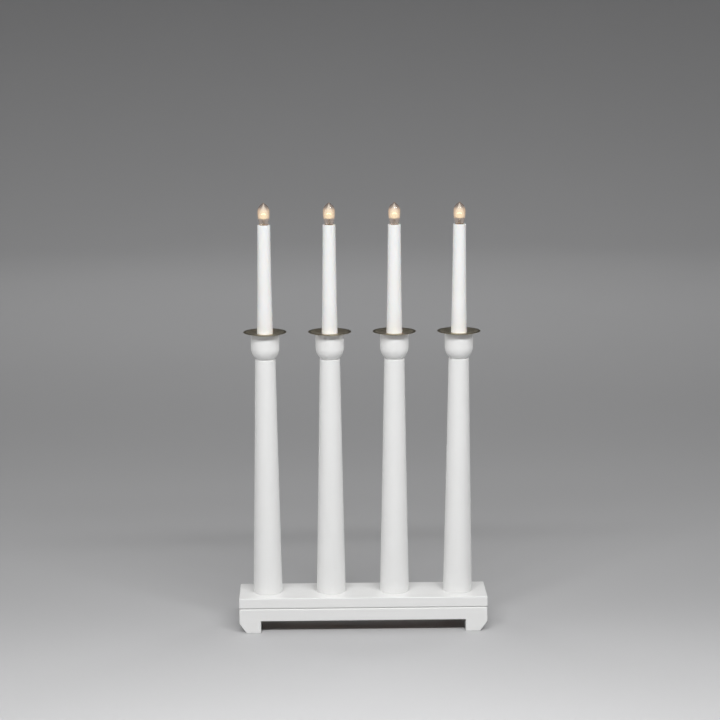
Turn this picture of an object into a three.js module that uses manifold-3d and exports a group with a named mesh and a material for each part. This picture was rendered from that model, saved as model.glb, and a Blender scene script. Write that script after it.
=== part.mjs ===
// A four-light electric Advent candlestick of painted wood. Millimetres, +Z up.
// The origin is the middle of the base, on the surface that it stands on; the front faces -Y.
import * as THREE from "three";
import { mergeVertices } from "three/addons/utils/BufferGeometryUtils.js";
import Module from "manifold-3d";

const wasm = await Module();
wasm.setup();

// Clearances
const fit = 0.3; // round a piece that sits in another
const threadClearance = 0.33; // between the lamp cap's thread and the holder's

// Row of lights
const lightCount = 4;
const lightSpacing = 69.4;
const endMargin = 30.9; // outer column's axis to the end of the base

// Base: a board on a frame that is cut away between its feet
const baseDepth = 57;
const baseHeight = 39;
const boardThickness = 12.2;
const grooveHeight = 1.2;
const grooveDepth = 1.2;
const edgeChamfer = 0.7;
const footWidth = 23.5;
const recessHeight = 13.4;
const footCutWidth = 7.8;
const footCutHeight = 11;
const channelWidth = 26;
const channelEndRoom = 1.4;

// Cover over the wiring channel, its screws and the cord's inlet
const coverWidth = 36;
const coverThickness = 2.8;
const coverScrewInset = 24; // from the end of the recess
const screwHeadRadius = 3;
const screwHeadHeight = 1.6;
const screwShankRadius = 1.4;
const screwLength = 9;
const screwSlotWidth = 0.8;
const screwSlotLength = 4.2;
const screwSlotDepth = 0.7;
const bushFlangeRadius = 6;
const bushFlangeThickness = 1.2;
const bushRadius = 4.4;
const bushBoreRadius = 3;
const bushNeck = 5; // length of the bush above its flange
const bushCatch = 0.7; // how far its catch stands out
const bushEdge = 0.4;
const bushOffset = 6; // behind the middle of the channel

// Turned column
const columnHeight = 259;
const columnFootRadius = 15.95;
const columnMiddleRadius = 13.3;
const columnTopRadius = 11;
const columnEdge = 0.35;
const wireBoreRadius = 4.6;
const footTenonRadius = 8;
const footTenonSetback = 1; // short of the board's underside

// Turned capital: a ball below, a plain drum above
const capitalHeight = 27.6;
const capitalRadius = 15.3;
const capitalBallCentre = 12.5; // above the column's top
const capitalNeckHeight = 0.8;
const capitalNeckRadius = 8.9;
const capitalEdge = 0.5;
const capitalTenonRadius = 7;
const capitalTenonLength = 12;

// Drip plate
const plateRadius = 23.1;
const plateThickness = 0.5;
const plateFloorRadius = 14.5;
const plateRimInnerRadius = 20.5;
const plateDishDepth = 1.8;

// Candle sleeve
const sleeveHeight = 117;
const sleeveFootRadius = 8.5;
const sleeveMiddleRadius = 7.5;
const sleeveTopRadius = 6.9;
const sleeveEdge = 0.3;
const sleeveBoreRadius = 5;
const spigotRadius = 6.4;
const spigotLength = 18;
const chamberRadius = 5.65;
const chamberDepth = 20;

// Lampholder in the sleeve's chamber
const holderBodyHeight = 9.4;
const shellHeight = 8.6;
const shellWall = 0.3; // at the bottom of the thread
const shellFlangeThickness = 0.4;
const shellFlangeBore = 3.4;
const tagOffset = 3.4; // from the light's axis to a solder tag
const tagWidth = 3;
const tagThickness = 0.5;
const tagDrop = 3; // below the holder body
const leafThickness = 0.42;
const leafPocketDepth = 2.2;
const leafDip = 0.4; // fall of the spring leaf's free end from its crown
const leafReach = 1.2; // past the middle

// Edison thread of the 10 mm size
const threadPitch = 1.814;
const threadMajorRadius = 4.72;
const threadDepth = 0.47;
const threadTurns = 3.5; // engaged when the lamp is tight

// Lamp
const capHeight = 8.25;
const capBoreRadius = 3.9;
const capEdge = 0.2;
const capRimRadius = 4.9;
const capRimHeight = 1;
const insulatorHeight = 1.4; // inside the cap, and as much again below it
const insulatorEndRadius = 2.4;
const contactRadius = 1.9;
const contactHeight = 1.2;
const contactEdge = 0.6;
const glassInCap = 5.6;
const glassWall = 0.5;
const glassShoulderRadius = 4.6;
const glassShoulderRise = 1.1;
const glassRadius = 6.4;
const glassBellyRise = 12.9; // widest place above the cap
const glassRise = 23.9; // tip above the cap
const glassNeckPull = [0.8, 3]; // how the outline leaves the shoulder: out and up
const glassBellyPull = [4.5, 6.2]; // how far it runs straight below and above the belly
const glassTipPull = [4.6, 3.1]; // how it meets the tip: out and down
const glassTipThickness = 0.8;
const stemFlareRadius = 2.8;
const stemFlareHeight = 0.6;
const stemWaistRise = 3; // top of the flare's cone
const stemRadius = 1.1;
const stemEdge = 0.4;
const stemRise = 5.4; // its top above the cap
const filamentRise = 12.6;
const filamentArch = 1.2;
const filamentHalfSpan = 2.2;
const wireInStem = 2;
const supportWireRadius = 0.3;

// Wiring
const leadRadius = 1;
const leadOffset = 3; // each side of a light's axis
const leadBendRadius = 4;
const supplyLaneOffset = 7; // in front of the middle of the channel
const supplyBendRadius = 3;
const crimpRadius = 2;
const crimpLength = 14;
const crimpDistance = 12; // from the middle of the base
const leadInCrimp = 6;

// Fineness of round pieces: sides round the axis, and steps along a curve
const columnSides = 20;
const columnSteps = 4;
const ballSteps = 5;
const plateSides = 24;
const plateSteps = 2;
const sleeveSides = 16;
const sleeveSteps = 3;
const holderSides = 12;
const screwSides = 10;
const stemSides = 8;
const wireSides = 6;
const bulbSteps = 3;
const leadSides = 8;
const bendSteps = 3;
const threadRowsPerPitch = 4;

// How far a cutting tool runs past the face that it cuts
const overrun = 1;

// Values that follow
const baseLength = (lightCount - 1) * lightSpacing + 2 * endMargin;
const recessHalfLength = baseLength / 2 - footWidth;
const jointHeight = baseHeight - boardThickness;
const outerLightX = ((lightCount - 1) * lightSpacing) / 2;
const channelHalfLength = outerLightX + leadOffset + leadRadius + channelEndRoom;
const coverTop = recessHeight + coverThickness;
const laneHeight = (coverTop + jointHeight) / 2;
const capitalTop = columnHeight + capitalHeight;
const plateFloor = capitalTop + plateThickness;
const sleeveTop = plateFloor + sleeveHeight;
const chamberFloor = sleeveTop - chamberDepth;
const holderTop = chamberFloor + holderBodyHeight;
const tagBottom = chamberFloor - tagDrop;
const holderRadius = chamberRadius - fit;
const threadMinorRadius = threadMajorRadius - threadDepth;
const shellRootRadius = threadMajorRadius + threadClearance;
const shellOuterRadius = shellRootRadius + shellWall;
const shellTop = holderTop + shellHeight;
const capThreadStart = shellTop - threadTurns * threadPitch;
const capBottom = capThreadStart - fit;
const capTop = capBottom + capHeight;
const lampEnd = capBottom - insulatorHeight - contactHeight;
const leafTop = lampEnd - fit;

const materials = {
  paint: new THREE.MeshStandardMaterial({ color: 0xe9e8e4, roughness: 0.45 }),
  brass: new THREE.MeshStandardMaterial({ color: 0x77715a, roughness: 0.4, metalness: 0.9 }),
  brightBrass: new THREE.MeshStandardMaterial({ color: 0xc2a14e, roughness: 0.3, metalness: 1 }),
  sleeve: new THREE.MeshStandardMaterial({ color: 0xf6f6f2, roughness: 0.4 }),
  holder: new THREE.MeshStandardMaterial({ color: 0xe4e0d2, roughness: 0.5 }),
  vitrite: new THREE.MeshStandardMaterial({ color: 0x1c1b1e, roughness: 0.2 }),
  glass: new THREE.MeshStandardMaterial({ color: 0xf3d9b0, roughness: 0.05 }),
  stem: new THREE.MeshStandardMaterial({ color: 0xffe2b0, roughness: 0.2 }),
  hardboard: new THREE.MeshStandardMaterial({ color: 0x5b4433, roughness: 0.8 }),
  steel: new THREE.MeshStandardMaterial({ color: 0xa9aaad, roughness: 0.35, metalness: 1 }),
  lead: new THREE.MeshStandardMaterial({ color: 0xefefea, roughness: 0.5 }),
  nylon: new THREE.MeshStandardMaterial({ color: 0xe2e0da, roughness: 0.5 }),
};

// Turns a closed outline of [radius, height] points about Z
function turned(outline, sides) {
  const points = outline.map(([r, z]) => new THREE.Vector2(r, z));
  const geometry = new THREE.LatheGeometry(points, sides);
  return geometry.rotateX(Math.PI / 2);
}

// Plain cylinder along Z, for bores
function rod(radius, low, high, sides) {
  const geometry = new THREE.CylinderGeometry(radius, radius, high - low, sides);
  return geometry.rotateX(Math.PI / 2).translate(0, 0, (low + high) / 2);
}

function block(x0, x1, y0, y1, z0, z1) {
  const geometry = new THREE.BoxGeometry(x1 - x0, y1 - y0, z1 - z0);
  return geometry.translate((x0 + x1) / 2, (y0 + y1) / 2, (z0 + z1) / 2);
}

function polygon(points) {
  return new THREE.Shape(points.map(([x, y]) => new THREE.Vector2(x, y)));
}

// Extrudes an outline by `height` along Z from 0, with a chamfer inside its outline at both ends
function slab(points, height, chamfer) {
  return new THREE.ExtrudeGeometry(polygon(points), {
    depth: height - 2 * chamfer,
    bevelEnabled: chamfer > 0,
    bevelThickness: chamfer,
    bevelSize: chamfer,
    bevelOffset: -chamfer,
    bevelSegments: 1,
  }).translate(0, 0, chamfer);
}

// Extrudes an outline of [x, z] points across the object, centred on y = 0
function crosswise(points, depth, chamfer) {
  const geometry = slab(points, depth, chamfer);
  return geometry.rotateX(Math.PI / 2).translate(0, depth / 2, 0);
}

function solid(geometry) {
  const bare = geometry.clone();
  bare.deleteAttribute("normal");
  bare.deleteAttribute("uv");
  const merged = mergeVertices(bare, 1e-4);
  return new wasm.Manifold(
    new wasm.Mesh({
      numProp: 3,
      vertProperties: new Float32Array(merged.attributes.position.array),
      triVerts: new Uint32Array(merged.index.array),
    }),
  );
}

function geometryOf(body) {
  const mesh = body.getMesh();
  const geometry = new THREE.BufferGeometry();
  geometry.setAttribute("position", new THREE.BufferAttribute(mesh.vertProperties, 3));
  geometry.setIndex(new THREE.BufferAttribute(mesh.triVerts, 1));
  geometry.computeVertexNormals();
  return geometry;
}

function joined(...geometries) {
  return geometryOf(geometries.map(solid).reduce((sum, next) => sum.add(next)));
}

function cut(geometry, ...tools) {
  return geometryOf(tools.map(solid).reduce((rest, tool) => rest.subtract(tool), solid(geometry)));
}

// Points on a circle's arc from one angle to another, as [radius, height]
function arc(centreR, centreZ, radius, from, to, steps) {
  const points = [];
  for (let i = 0; i <= steps; i += 1) {
    const angle = from + ((to - from) * i) / steps;
    points.push([centreR + radius * Math.cos(angle), centreZ + radius * Math.sin(angle)]);
  }
  return points;
}

// Points of a taper through three radii, which bows gently between them
function taper(lowRadius, middleRadius, highRadius, low, high, steps) {
  const bend = 2 * middleRadius - (lowRadius + highRadius) / 2;
  const curve = new THREE.QuadraticBezierCurve(
    new THREE.Vector2(lowRadius, low),
    new THREE.Vector2(bend, (low + high) / 2),
    new THREE.Vector2(highRadius, high),
  );
  return curve.getPoints(steps).map((point) => [point.x, point.y]);
}

// Tube along a chain of points, each of which gets one ring
class Chain extends THREE.Curve {
  constructor(points) {
    super();
    this.points = points;
  }

  getPoint(t) {
    const place = t * (this.points.length - 1);
    const index = Math.min(Math.floor(place), this.points.length - 2);
    return this.points[index].clone().lerp(this.points[index + 1], place - index);
  }

  getPointAt(u) {
    return this.getPoint(u);
  }

  getTangentAt(u, target) {
    return this.getTangent(u, target);
  }
}

function circle(radius, sides) {
  const points = [];
  for (let i = 0; i < sides; i += 1) {
    const angle = (2 * Math.PI * i) / sides;
    points.push([radius * Math.cos(angle), radius * Math.sin(angle)]);
  }
  return polygon(points);
}

function tube(points, radius, sides) {
  return new THREE.ExtrudeGeometry(circle(radius, sides), {
    steps: points.length - 1,
    extrudePath: new Chain(points),
  });
}

// Route through corner points, each inner corner rounded, at most halfway along its legs
function roundedRoute(corners, bendRadius) {
  const route = [corners[0]];
  for (let i = 1; i < corners.length - 1; i += 1) {
    const corner = corners[i];
    const back = corners[i - 1].clone().sub(corner);
    const ahead = corners[i + 1].clone().sub(corner);
    const reach = Math.min(bendRadius, back.length() / 2, ahead.length() / 2);
    const bend = new THREE.QuadraticBezierCurve3(
      corner.clone().add(back.setLength(reach)),
      corner,
      corner.clone().add(ahead.setLength(reach)),
    );
    route.push(...bend.getPoints(bendSteps));
  }
  route.push(corners[corners.length - 1]);
  return route;
}

// Height of the thread's ridge: a cosine that climbs one pitch each turn
function ridge(z, angle) {
  return (threadDepth / 2) * (1 + Math.cos((2 * Math.PI * z) / threadPitch - angle));
}

// Works a thread into the vertices of a turned piece that lie at `plainRadius` from `low` to
// `high`. The ridge stands outwards on a plug and its gaps are filled inwards in a socket, and
// it fades out over half a pitch at each end.
function threaded(geometry, plainRadius, low, high, isSocket) {
  const position = geometry.attributes.position;
  for (let i = 0; i < position.count; i += 1) {
    const x = position.getX(i);
    const y = position.getY(i);
    const z = position.getZ(i);
    const radius = Math.hypot(x, y);
    if (Math.abs(radius - plainRadius) < 1e-3 && z > low && z < high) {
      const fade = Math.min(1, (z - low) / (threadPitch / 2), (high - z) / (threadPitch / 2));
      const height = ridge(z, Math.atan2(y, x));
      const change = isSocket ? height - threadDepth : height;
      const scale = (radius + fade * change) / radius;
      position.setXY(i, x * scale, y * scale);
    }
  }
  return geometry;
}

// Points up a plain wall that a thread is worked into
function threadRows(radius, low, high) {
  const rows = Math.round(((high - low) / threadPitch) * threadRowsPerPitch);
  const points = [];
  for (let i = 0; i <= rows; i += 1) {
    points.push([radius, low + ((high - low) * i) / rows]);
  }
  return points;
}

function rectangle(length, depth) {
  const x = length / 2;
  const y = depth / 2;
  return [[-x, -y], [x, -y], [x, y], [-x, y]];
}

function lightX(index) {
  return -outerLightX + index * lightSpacing;
}

// Base

function baseBoard() {
  const bottom = jointHeight + grooveHeight;
  const board = slab(rectangle(baseLength, baseDepth), baseHeight - bottom, edgeChamfer);
  board.translate(0, 0, bottom);
  const tongueX = baseLength / 2 - grooveDepth;
  const tongueY = baseDepth / 2 - grooveDepth;
  const middle = (bottom + baseHeight) / 2;
  const tongue = block(-tongueX, tongueX, -tongueY, tongueY, jointHeight, middle);
  const sockets = [];
  for (let i = 0; i < lightCount; i += 1) {
    const socket = rod(footTenonRadius + fit, jointHeight - overrun, baseHeight + overrun, columnSides);
    sockets.push(socket.translate(lightX(i), 0, 0));
  }
  return cut(joined(board, tongue), ...sockets);
}

function coverScrewPlaces() {
  const x = recessHalfLength - coverScrewInset;
  const y = (channelWidth + coverWidth) / 4;
  return [[-x, -y], [x, -y], [x, y], [-x, y]];
}

function baseFrame() {
  const x = baseLength / 2;
  const outline = [
    [-x + footCutWidth, 0],
    [-recessHalfLength, 0],
    [-recessHalfLength, recessHeight],
    [recessHalfLength, recessHeight],
    [recessHalfLength, 0],
    [x - footCutWidth, 0],
    [x, footCutHeight],
    [x, jointHeight],
    [-x, jointHeight],
    [-x, footCutHeight],
  ];
  const rebateY = coverWidth / 2 + fit;
  const rebate = block(
    -recessHalfLength, recessHalfLength, -rebateY, rebateY, recessHeight - overrun, coverTop,
  );
  const channelY = channelWidth / 2;
  const channelTop = jointHeight + overrun;
  const channel = block(
    -channelHalfLength, channelHalfLength, -channelY, channelY, recessHeight, channelTop,
  );
  const pilots = coverScrewPlaces().map(([px, py]) => {
    const pilotEnd = recessHeight + screwLength + fit;
    return rod(screwShankRadius + fit, recessHeight, pilotEnd, screwSides).translate(px, py, 0);
  });
  return cut(crosswise(outline, baseDepth, edgeChamfer), rebate, channel, ...pilots);
}

function cableCover() {
  const x = recessHalfLength - fit;
  const y = coverWidth / 2;
  const sheet = block(-x, x, -y, y, recessHeight, coverTop);
  const inlet = rod(bushRadius + fit, recessHeight - overrun, coverTop + overrun, holderSides);
  const holes = coverScrewPlaces().map(([px, py]) => {
    const hole = turned(
      [
        [0, recessHeight - overrun],
        [screwHeadRadius + fit, recessHeight - overrun],
        [screwHeadRadius + fit, recessHeight],
        [screwShankRadius + fit, recessHeight + screwHeadHeight],
        [screwShankRadius + fit, coverTop + overrun],
        [0, coverTop + overrun],
      ],
      screwSides,
    );
    return hole.translate(px, py, 0);
  });
  return cut(sheet, inlet.translate(0, bushOffset, 0), ...holes);
}

function coverScrew() {
  const body = turned(
    [
      [0, recessHeight],
      [screwHeadRadius, recessHeight],
      [screwShankRadius, recessHeight + screwHeadHeight],
      [screwShankRadius, recessHeight + screwLength - screwShankRadius],
      [0, recessHeight + screwLength],
    ],
    screwSides,
  );
  const reach = screwSlotLength / 2;
  const half = screwSlotWidth / 2;
  const slotTop = recessHeight + screwSlotDepth;
  const slotBottom = recessHeight - overrun;
  const slot = block(-reach, reach, -half, half, slotBottom, slotTop);
  const crossSlot = block(-half, half, -reach, reach, slotBottom, slotTop);
  return cut(body, slot, crossSlot);
}

function cordBush() {
  const flangeBottom = recessHeight - bushFlangeThickness;
  const neckTop = recessHeight + bushNeck;
  return turned(
    [
      [bushBoreRadius, flangeBottom],
      [bushFlangeRadius - bushEdge, flangeBottom],
      [bushFlangeRadius, flangeBottom + bushEdge],
      [bushFlangeRadius, recessHeight],
      [bushRadius, recessHeight],
      [bushRadius, coverTop + fit],
      [bushRadius + bushCatch, coverTop + fit],
      [bushRadius, neckTop],
      [bushBoreRadius, neckTop],
      [bushBoreRadius, flangeBottom],
    ],
    holderSides,
  );
}

// Pieces of one light, measured up from the base's top on the light's own axis

function column() {
  const tenonEnd = -(boardThickness - footTenonSetback);
  const socketRadius = capitalTenonRadius + fit;
  const socketFloor = columnHeight - capitalTenonLength - fit;
  const radii = [columnFootRadius, columnMiddleRadius, columnTopRadius];
  const wall = taper(...radii, 0, columnHeight, columnSteps);
  return turned(
    [
      [wireBoreRadius, tenonEnd],
      [footTenonRadius, tenonEnd],
      [footTenonRadius, 0],
      ...wall.slice(0, -1),
      [columnTopRadius, columnHeight - columnEdge],
      [columnTopRadius - columnEdge, columnHeight],
      [socketRadius, columnHeight],
      [socketRadius, socketFloor],
      [wireBoreRadius, socketFloor],
      [wireBoreRadius, tenonEnd],
    ],
    columnSides,
  );
}

function capital() {
  const bottom = columnHeight;
  const neckTop = bottom + capitalNeckHeight;
  const centre = bottom + capitalBallCentre;
  const from = Math.asin((neckTop - centre) / capitalRadius);
  const socketRadius = spigotRadius + fit;
  const socketFloor = plateFloor - spigotLength - fit;
  return turned(
    [
      [wireBoreRadius, bottom - capitalTenonLength],
      [capitalTenonRadius, bottom - capitalTenonLength],
      [capitalTenonRadius, bottom],
      [capitalNeckRadius, bottom],
      ...arc(0, centre, capitalRadius, from, 0, ballSteps),
      [capitalRadius, capitalTop - capitalEdge],
      [capitalRadius - capitalEdge, capitalTop],
      [socketRadius, capitalTop],
      [socketRadius, socketFloor],
      [wireBoreRadius, socketFloor],
      [wireBoreRadius, bottom - capitalTenonLength],
    ],
    columnSides,
  );
}

// The plate's sheet rises from its floor to its rim in half a cosine wave
function dripPlate() {
  const line = [[spigotRadius + fit, 0]];
  for (let i = 0; i <= plateSteps; i += 1) {
    const share = i / plateSteps;
    const radius = plateFloorRadius + share * (plateRimInnerRadius - plateFloorRadius);
    line.push([radius, (plateDishDepth * (1 - Math.cos(Math.PI * share))) / 2]);
  }
  line.push([plateRadius, plateDishDepth]);
  const under = line.map(([r, z]) => [r, capitalTop + z]);
  const over = line.map(([r, z]) => [r, plateFloor + z]).reverse();
  return turned([...under, ...over, under[0]], plateSides);
}

function candleSleeve() {
  const spigotEnd = plateFloor - spigotLength;
  const radii = [sleeveFootRadius, sleeveMiddleRadius, sleeveTopRadius];
  const wall = taper(...radii, plateFloor, sleeveTop, sleeveSteps);
  return turned(
    [
      [sleeveBoreRadius, spigotEnd],
      [spigotRadius - sleeveEdge, spigotEnd],
      [spigotRadius, spigotEnd + sleeveEdge],
      [spigotRadius, plateFloor],
      ...wall.slice(0, -1),
      [sleeveTopRadius, sleeveTop - sleeveEdge],
      [sleeveTopRadius - sleeveEdge, sleeveTop],
      [chamberRadius, sleeveTop],
      [chamberRadius, chamberFloor],
      [sleeveBoreRadius, chamberFloor],
      [sleeveBoreRadius, spigotEnd],
    ],
    sleeveSides,
  );
}

// A solder tag stands over each lead, on side 1 under the shell and on side -1 under the leaf.
// `room` widens it into the slot that it passes through.
function tagBlock(side, low, high, room) {
  const middle = side * (tagOffset + tagThickness / 2);
  const halfX = tagThickness / 2 + room;
  const halfY = tagWidth / 2 + room;
  return block(middle - halfX, middle + halfX, -halfY, halfY, low, high);
}

function lampholderBody() {
  const body = rod(holderRadius, chamberFloor, holderTop, holderSides);
  const half = contactRadius + fit;
  const pocketStart = -(tagOffset + tagThickness + fit);
  const pocketFloor = holderTop - leafPocketDepth;
  const pocket = block(pocketStart, half, -half, half, pocketFloor, holderTop + overrun);
  const leafSlot = tagBlock(-1, chamberFloor - overrun, holderTop, fit);
  const shellSlot = tagBlock(1, chamberFloor - overrun, holderTop + overrun, fit);
  return cut(body, pocket, leafSlot, shellSlot);
}

function threadedShell() {
  const top = shellTop;
  const threadLow = holderTop + shellFlangeThickness;
  const shell = turned(
    [
      [shellFlangeBore, holderTop],
      [shellOuterRadius, holderTop],
      [shellOuterRadius, top],
      ...threadRows(shellRootRadius, threadLow, top).reverse(),
      [shellFlangeBore, threadLow],
      [shellFlangeBore, holderTop],
    ],
    holderSides,
  );
  threaded(shell, shellRootRadius, threadLow, top, true);
  return joined(shell, tagBlock(1, tagBottom, threadLow, 0));
}

function centreContact() {
  const outer = -(tagOffset + tagThickness);
  const inner = -tagOffset;
  const flat = holderTop - leafPocketDepth + fit;
  const rise = leafTop - leafThickness;
  const strip = [
    [outer, tagBottom],
    [inner, tagBottom],
    [inner, flat],
    [-leafReach, flat],
    [0, rise],
    [leafReach, rise - leafDip],
    [leafReach, leafTop - leafDip],
    [0, leafTop],
    [-leafReach, flat + leafThickness],
    [outer, flat + leafThickness],
  ];
  return crosswise(strip, tagWidth, 0);
}

// Lamp

function lampCap() {
  const threadHigh = capTop - capRimHeight - fit;
  const cap = turned(
    [
      [capBoreRadius, capBottom],
      [threadMinorRadius - capEdge, capBottom],
      ...threadRows(threadMinorRadius, capThreadStart, threadHigh),
      [capRimRadius, capTop - capRimHeight],
      [capRimRadius, capTop],
      [capBoreRadius, capTop],
      [capBoreRadius, capBottom],
    ],
    holderSides,
  );
  return threaded(cap, threadMinorRadius, capThreadStart, threadHigh, false);
}

function lampContact() {
  const endTop = capBottom - insulatorHeight;
  return turned(
    [
      [0, lampEnd],
      [contactRadius - contactEdge, lampEnd],
      [contactRadius, lampEnd + contactEdge],
      [contactRadius, endTop],
      [insulatorEndRadius, endTop],
      [capBoreRadius - fit, capBottom],
      [capBoreRadius - fit, capBottom + insulatorHeight],
      [0, capBottom + insulatorHeight],
    ],
    screwSides,
  );
}

// Outline of a flame-shaped bulb: a swelling belly and a pointed tip. `inset` is how far it
// runs inside the outer face, and `tipInset` the same at the tip.
function bulbOutline(inset, tipInset, steps) {
  const belly = new THREE.Vector2(glassRadius - inset, capTop + glassBellyRise);
  const shoulder = new THREE.Vector2(glassShoulderRadius - inset, capTop + glassShoulderRise);
  const tip = new THREE.Vector2(0, capTop + glassRise - tipInset);
  const lower = new THREE.CubicBezierCurve(
    shoulder,
    new THREE.Vector2(shoulder.x + glassNeckPull[0], shoulder.y + glassNeckPull[1]),
    new THREE.Vector2(belly.x, belly.y - glassBellyPull[0]),
    belly,
  );
  const upper = new THREE.CubicBezierCurve(
    belly,
    new THREE.Vector2(belly.x, belly.y + glassBellyPull[1]),
    new THREE.Vector2(tip.x + glassTipPull[0], tip.y - glassTipPull[1]),
    tip,
  );
  const points = [...lower.getPoints(steps), ...upper.getPoints(steps + 1).slice(1)];
  return points.map((point) => [point.x, point.y]);
}

function lampGlass() {
  const neck = capBoreRadius - fit;
  const bottom = capTop - glassInCap;
  return turned(
    [
      [neck - glassWall, bottom],
      [neck, bottom],
      [neck, capTop],
      ...bulbOutline(0, 0, bulbSteps),
      ...bulbOutline(glassWall, glassTipThickness, bulbSteps - 1).reverse(),
      [neck - glassWall, capTop],
      [neck - glassWall, bottom],
    ],
    holderSides,
  );
}

function lampMount() {
  const bottom = capTop - glassInCap;
  const stemTop = capTop + stemRise;
  const stem = turned(
    [
      [0, bottom],
      [stemFlareRadius, bottom],
      [stemFlareRadius, bottom + stemFlareHeight],
      [stemRadius, bottom + stemWaistRise],
      [stemRadius, stemTop - stemEdge],
      [0, stemTop],
    ],
    stemSides,
  );
  const wireFoot = stemTop - wireInStem;
  const filament = capTop + filamentRise;
  const wire = [
    [-stemRadius / 2, wireFoot],
    [-filamentHalfSpan, filament - filamentArch],
    [-filamentHalfSpan / 2, filament],
    [filamentHalfSpan / 2, filament],
    [filamentHalfSpan, filament - filamentArch],
    [stemRadius / 2, wireFoot],
  ].map(([x, z]) => new THREE.Vector3(x, 0, z));
  return joined(stem, tube(wire, supportWireRadius, wireSides));
}

// Wiring: the lights are in series, so each lead links one holder's shell to the next contact

const leadTop = baseHeight + tagBottom - fit;

function linkLead(index) {
  const from = lightX(index) + leadOffset;
  const to = lightX(index + 1) - leadOffset;
  const corners = [
    new THREE.Vector3(from, 0, leadTop),
    new THREE.Vector3(from, 0, laneHeight),
    new THREE.Vector3(to, 0, laneHeight),
    new THREE.Vector3(to, 0, leadTop),
  ];
  return tube(roundedRoute(corners, leadBendRadius), leadRadius, leadSides);
}

// From an outer light to the crimp sleeve where the cord's core would be joined
function supplyLead(side) {
  const start = side * (outerLightX + leadOffset);
  const end = side * (crimpDistance + crimpLength - leadInCrimp);
  const corners = [
    new THREE.Vector3(start, 0, leadTop),
    new THREE.Vector3(start, 0, laneHeight),
    new THREE.Vector3(start, -supplyLaneOffset, laneHeight),
    new THREE.Vector3(end, -supplyLaneOffset, laneHeight),
  ];
  return tube(roundedRoute(corners, supplyBendRadius), leadRadius, leadSides);
}

function crimpSleeve(side) {
  const bore = leadRadius + fit;
  const ring = turned(
    [[bore, 0], [crimpRadius, 0], [crimpRadius, crimpLength], [bore, crimpLength], [bore, 0]],
    screwSides,
  );
  const turnedFlat = ring.rotateY(side * (Math.PI / 2));
  return turnedFlat.translate(side * crimpDistance, -supplyLaneOffset, laneHeight);
}

const candlestick = new THREE.Group();

function place(parent, name, geometry, material) {
  const mesh = new THREE.Mesh(geometry, material.clone());
  mesh.name = name;
  parent.add(mesh);
  return mesh;
}

place(candlestick, "base_board", baseBoard(), materials.paint);
place(candlestick, "base_frame", baseFrame(), materials.paint);
place(candlestick, "cable_cover", cableCover(), materials.hardboard);
coverScrewPlaces().forEach(([x, y], i) => {
  const screw = place(candlestick, `cable_cover_screw_${i + 1}`, coverScrew(), materials.steel);
  screw.position.set(x, y, 0);
});
const bush = place(candlestick, "cord_bush", cordBush(), materials.nylon);
bush.position.y = bushOffset;

for (let i = 0; i < lightCount - 1; i += 1) {
  place(candlestick, `link_lead_${i + 1}`, linkLead(i), materials.lead);
}
for (const [word, side] of [["left", -1], ["right", 1]]) {
  place(candlestick, `supply_lead_${word}`, supplyLead(side), materials.lead);
  place(candlestick, `crimp_sleeve_${word}`, crimpSleeve(side), materials.steel);
}

const lightPieces = [
  ["column", column(), materials.paint],
  ["capital", capital(), materials.paint],
  ["drip_plate", dripPlate(), materials.brass],
  ["candle_sleeve", candleSleeve(), materials.sleeve],
  ["lampholder_body", lampholderBody(), materials.holder],
  ["threaded_shell", threadedShell(), materials.brightBrass],
  ["centre_contact", centreContact(), materials.brightBrass],
  ["lamp_cap", lampCap(), materials.brightBrass],
  ["lamp_contact", lampContact(), materials.vitrite],
  ["lamp_glass", lampGlass(), materials.glass],
  ["lamp_mount", lampMount(), materials.stem],
];
for (let i = 0; i < lightCount; i += 1) {
  const light = new THREE.Group();
  light.position.set(lightX(i), 0, baseHeight);
  for (const [word, geometry, material] of lightPieces) {
    place(light, `${word}_${i + 1}`, geometry, material);
  }
  candlestick.add(light);
}

export default candlestick;
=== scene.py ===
"""A four-light electric candlestick of white painted wood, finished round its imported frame.

Metres, +Z up, and the front faces -Y. Each shape is a surface over two parameters, worked out
as whole arrays, and takes its size and place from the frame's own pieces.
"""
import math

import bmesh
import bpy
import numpy as np
from mathutils import Matrix, Vector
from mathutils.geometry import tessellate_polygon


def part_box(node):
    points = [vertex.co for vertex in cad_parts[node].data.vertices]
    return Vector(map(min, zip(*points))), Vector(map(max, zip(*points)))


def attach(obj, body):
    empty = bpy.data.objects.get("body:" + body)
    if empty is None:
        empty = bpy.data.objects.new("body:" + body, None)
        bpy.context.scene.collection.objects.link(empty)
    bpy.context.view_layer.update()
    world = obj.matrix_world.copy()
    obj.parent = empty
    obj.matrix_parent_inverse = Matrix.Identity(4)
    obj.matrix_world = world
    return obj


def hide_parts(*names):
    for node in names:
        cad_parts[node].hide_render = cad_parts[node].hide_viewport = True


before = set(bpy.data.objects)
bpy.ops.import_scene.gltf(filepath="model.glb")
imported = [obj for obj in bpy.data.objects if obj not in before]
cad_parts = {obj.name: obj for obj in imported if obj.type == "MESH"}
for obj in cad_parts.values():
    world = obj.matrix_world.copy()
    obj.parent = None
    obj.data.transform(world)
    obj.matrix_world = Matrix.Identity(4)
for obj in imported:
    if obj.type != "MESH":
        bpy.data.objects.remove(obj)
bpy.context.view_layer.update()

MM = 0.001
FIT = 0.3 * MM  # room between pieces that go into each other
TURN = 2 * math.pi
SHARP = math.radians(35)
SAME_POINT = 1e-6
NO_LENGTH = 1e-7
FLAT_FACE_WEIGHT = 90
COLUMNS = [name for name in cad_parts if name.startswith("column_")]
LIGHTS = sorted(int(name.split("_")[1]) for name in COLUMNS)


# Places read from the frame

def low_z(node):
    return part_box(node)[0].z


def high_z(node):
    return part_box(node)[1].z


def radius_of(node):
    low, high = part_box(node)
    return (high.x - low.x) / 2


def middle_of(node):
    low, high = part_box(node)
    return (low + high) / 2


# Surfaces from arrays

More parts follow.
